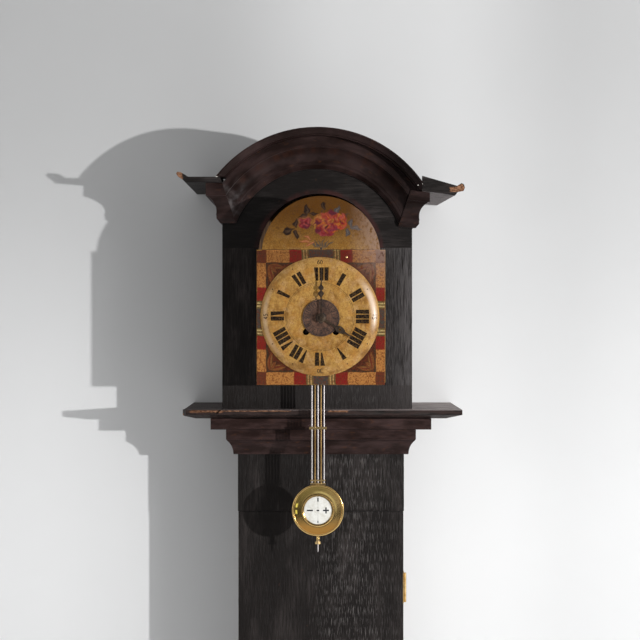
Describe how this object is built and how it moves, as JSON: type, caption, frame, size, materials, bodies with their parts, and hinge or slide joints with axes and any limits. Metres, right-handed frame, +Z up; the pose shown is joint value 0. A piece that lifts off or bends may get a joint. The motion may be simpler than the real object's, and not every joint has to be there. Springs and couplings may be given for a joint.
{
  "type": "longcase clock",
  "caption": "Tall arched longcase with a painted shield dial clock and a gridiron-style pendulum hung on the front of its hood.",
  "frame": {"origin": "under the middle of the clock on the floor", "axes": "+X to the viewer's right, the dial faces -Y, +Z up"},
  "size_m": [0.5753, 0.342, 2.1189],
  "materials": {
    "ebonised": "worn satin",
    "red_brown": "worn satin",
    "inner_wood": "matte",
    "painted_wood": "varnished",
    "brass": "satin",
    "dark_brass": "tarnished",
    "steel": "satin",
    "enamel": "gloss"
  },
  "bodies": {
    "case": {"backboard": "inner_wood", "trunk_sides": "ebonised", "trunk_rails": "ebonised", "waist_shelf": "ebonised", "waist_steps": "red_brown", "waist_cove": "red_brown", "base_panels": "ebonised", "base_moulding": "red_brown", "plinth": "ebonised", "floor_board": "inner_wood", "door_hinge_leaves": "brass"},
    "trunk_door": {"trunk_door": "ebonised", "door_hinge_straps": "brass"},
    "latch": {"door_latch": "brass"},
    "hood": {"hood_sides": "ebonised", "hood_frame": "ebonised", "hood_arch_board": "ebonised", "hood_roof": "ebonised", "arch_moulding": "red_brown", "cornice_left": "red_brown", "cornice_right": "red_brown", "wing_board_left": "ebonised", "wing_board_right": "ebonised", "box_top": "inner_wood", "box_bottom": "inner_wood", "box_back": "inner_wood", "dial_shield": "painted_wood", "front_plate": "brass", "back_plate": "brass", "plate_pillars": "brass", "bell": "brass"},
    "box_door_left": {"box_door_left": "inner_wood"},
    "box_door_right": {"box_door_right": "inner_wood"},
    "centre": {"centre_wheel": "brass", "cannon_pinion": "brass", "minute_hand": "dark_brass", "hand_nut": "dark_brass"},
    "going_barrel": {"going_barrel": "brass"},
    "intermediate": {"intermediate_wheel": "brass"},
    "third": {"third_wheel": "brass"},
    "escape": {"escape_wheel": "brass"},
    "minute": {"minute_wheel": "brass"},
    "hour": {"hour_wheel": "brass", "hour_hand": "dark_brass"},
    "alarm_disc": {"alarm_disc": "dark_brass"},
    "going_arbor": {"going_arbor": "steel"},
    "going_click": {"going_click": "steel"},
    "anchor": {"anchor": "steel"},
    "pendulum": {"suspension_spring": "steel", "gridiron_rods": "steel", "gridiron_bars": "brass", "bob": "brass", "bob_enamel": "enamel"},
    "rating_nut": {"rating_nut": "brass"},
    "alarm_barrel": {"alarm_barrel": "brass"},
    "alarm_arbor": {"alarm_arbor": "steel"},
    "alarm_click": {"alarm_click": "steel"},
    "alarm_wheel": {"alarm_wheel": "brass"},
    "alarm_detent": {"alarm_detent": "steel"},
    "alarm_hammer": {"alarm_hammer": "steel"}
  },
  "joints": [
    {"name": "door_hinge", "type": "hinge", "parent": "case", "child": "trunk_door", "pos_m": [0.173, 0.007, 1], "axis": [0, 0, 1], "range_deg": [0, 18]},
    {"name": "latch_turn", "type": "hinge", "parent": "trunk_door", "child": "latch", "pos_m": [-0.138, 0, 0.9925], "axis": [0, -1, 0], "range_deg": [0, 90]},
    {"name": "hood_slide", "type": "slide", "parent": "case", "child": "hood", "axis": [0, -1, 0], "range_m": [0, 0.2]},
    {"name": "box_door_left_hinge", "type": "hinge", "parent": "hood", "child": "box_door_left", "pos_m": [-0.091, -0.046, 1.7401], "axis": [0, 0, -1], "range_deg": [0, 88]},
    {"name": "box_door_right_hinge", "type": "hinge", "parent": "hood", "child": "box_door_right", "pos_m": [0.091, -0.046, 1.7401], "axis": [0, 0, 1], "range_deg": [0, 88]},
    {"name": "centre_spin", "type": "hinge", "parent": "hood", "child": "centre", "pos_m": [0, 0, 1.7401], "axis": [0, 1, 0], "continuous": true},
    {"name": "going_barrel_spin", "type": "hinge", "parent": "hood", "child": "going_barrel", "pos_m": [0.029, 0, 1.7127], "axis": [0, 1, 0], "continuous": true},
    {"name": "intermediate_spin", "type": "hinge", "parent": "hood", "child": "intermediate", "pos_m": [0.02231, 0, 1.74261], "axis": [0, 1, 0], "continuous": true},
    {"name": "third_spin", "type": "hinge", "parent": "hood", "child": "third", "pos_m": [-0.01645, 0, 1.75417], "axis": [0, 1, 0], "continuous": true},
    {"name": "escape_spin", "type": "hinge", "parent": "hood", "child": "escape", "pos_m": [-0.006, 0, 1.7701], "axis": [0, 1, 0], "continuous": true},
    {"name": "minute_wheel_spin", "type": "hinge", "parent": "hood", "child": "minute", "pos_m": [0.01011, 0, 1.74858], "axis": [0, 1, 0], "continuous": true},
    {"name": "hour_spin", "type": "hinge", "parent": "hood", "child": "hour", "pos_m": [0, 0, 1.7401], "axis": [0, 1, 0], "continuous": true},
    {"name": "alarm_disc_turn", "type": "hinge", "parent": "hour", "child": "alarm_disc", "pos_m": [0, 0, 1.7401], "axis": [0, 1, 0], "continuous": true},
    {"name": "going_winding", "type": "hinge", "parent": "hood", "child": "going_arbor", "pos_m": [0.029, 0, 1.7127], "axis": [0, 1, 0], "continuous": true},
    {"name": "going_click_lift", "type": "hinge", "parent": "hood", "child": "going_click", "pos_m": [0.029, 0, 1.7262], "axis": [0, 1, 0], "range_deg": [0, 10]},
    {"name": "pendulum_swing", "type": "hinge", "parent": "hood", "child": "pendulum", "pos_m": [-0.006, 0, 1.7921], "axis": [0, 1, 0], "range_deg": [-3, 3]},
    {"name": "anchor_rock", "type": "hinge", "parent": "hood", "child": "anchor", "pos_m": [-0.006, 0, 1.7921], "axis": [0, 1, 0], "range_deg": [-3, 3]},
    {"name": "rating_nut_turn", "type": "hinge", "parent": "pendulum", "child": "rating_nut", "pos_m": [-0.006, -0.096, 1.2947], "axis": [0, 0, 1], "continuous": true},
    {"name": "alarm_barrel_spin", "type": "hinge", "parent": "hood", "child": "alarm_barrel", "pos_m": [-0.029, 0, 1.7127], "axis": [0, 1, 0], "continuous": true},
    {"name": "alarm_wheel_spin", "type": "hinge", "parent": "hood", "child": "alarm_wheel", "pos_m": [-0.04614, 0, 1.73811], "axis": [0, 1, 0], "continuous": true},
    {"name": "alarm_winding", "type": "hinge", "parent": "hood", "child": "alarm_arbor", "pos_m": [-0.029, 0, 1.7127], "axis": [0, 1, 0], "continuous": true},
    {"name": "alarm_click_lift", "type": "hinge", "parent": "hood", "child": "alarm_click", "pos_m": [-0.029, 0, 1.7262], "axis": [0, -1, 0], "range_deg": [0, 10]},
    {"name": "alarm_detent_lift", "type": "hinge", "parent": "hood", "child": "alarm_detent", "pos_m": [-0.024, 0, 1.7511], "axis": [0, 1, 0], "range_deg": [-3, 0]},
    {"name": "hammer_swing", "type": "hinge", "parent": "hood", "child": "alarm_hammer", "pos_m": [-0.05699, 0, 1.75419], "axis": [0, 1, 0], "range_deg": [-4, 12]}
  ],
  "couplings": [
    {"joint": "intermediate_spin", "follows": "centre_spin", "ratio": -0.14286},
    {"joint": "going_barrel_spin", "follows": "centre_spin", "ratio": 0.017857},
    {"joint": "third_spin", "follows": "centre_spin", "ratio": -8},
    {"joint": "escape_spin", "follows": "centre_spin", "ratio": 68},
    {"joint": "minute_wheel_spin", "follows": "centre_spin", "ratio": -0.33333},
    {"joint": "hour_spin", "follows": "centre_spin", "ratio": 0.083333},
    {"joint": "anchor_rock", "follows": "pendulum_swing", "ratio": 1},
    {"joint": "alarm_wheel_spin", "follows": "alarm_barrel_spin", "ratio": -8}
  ]
}
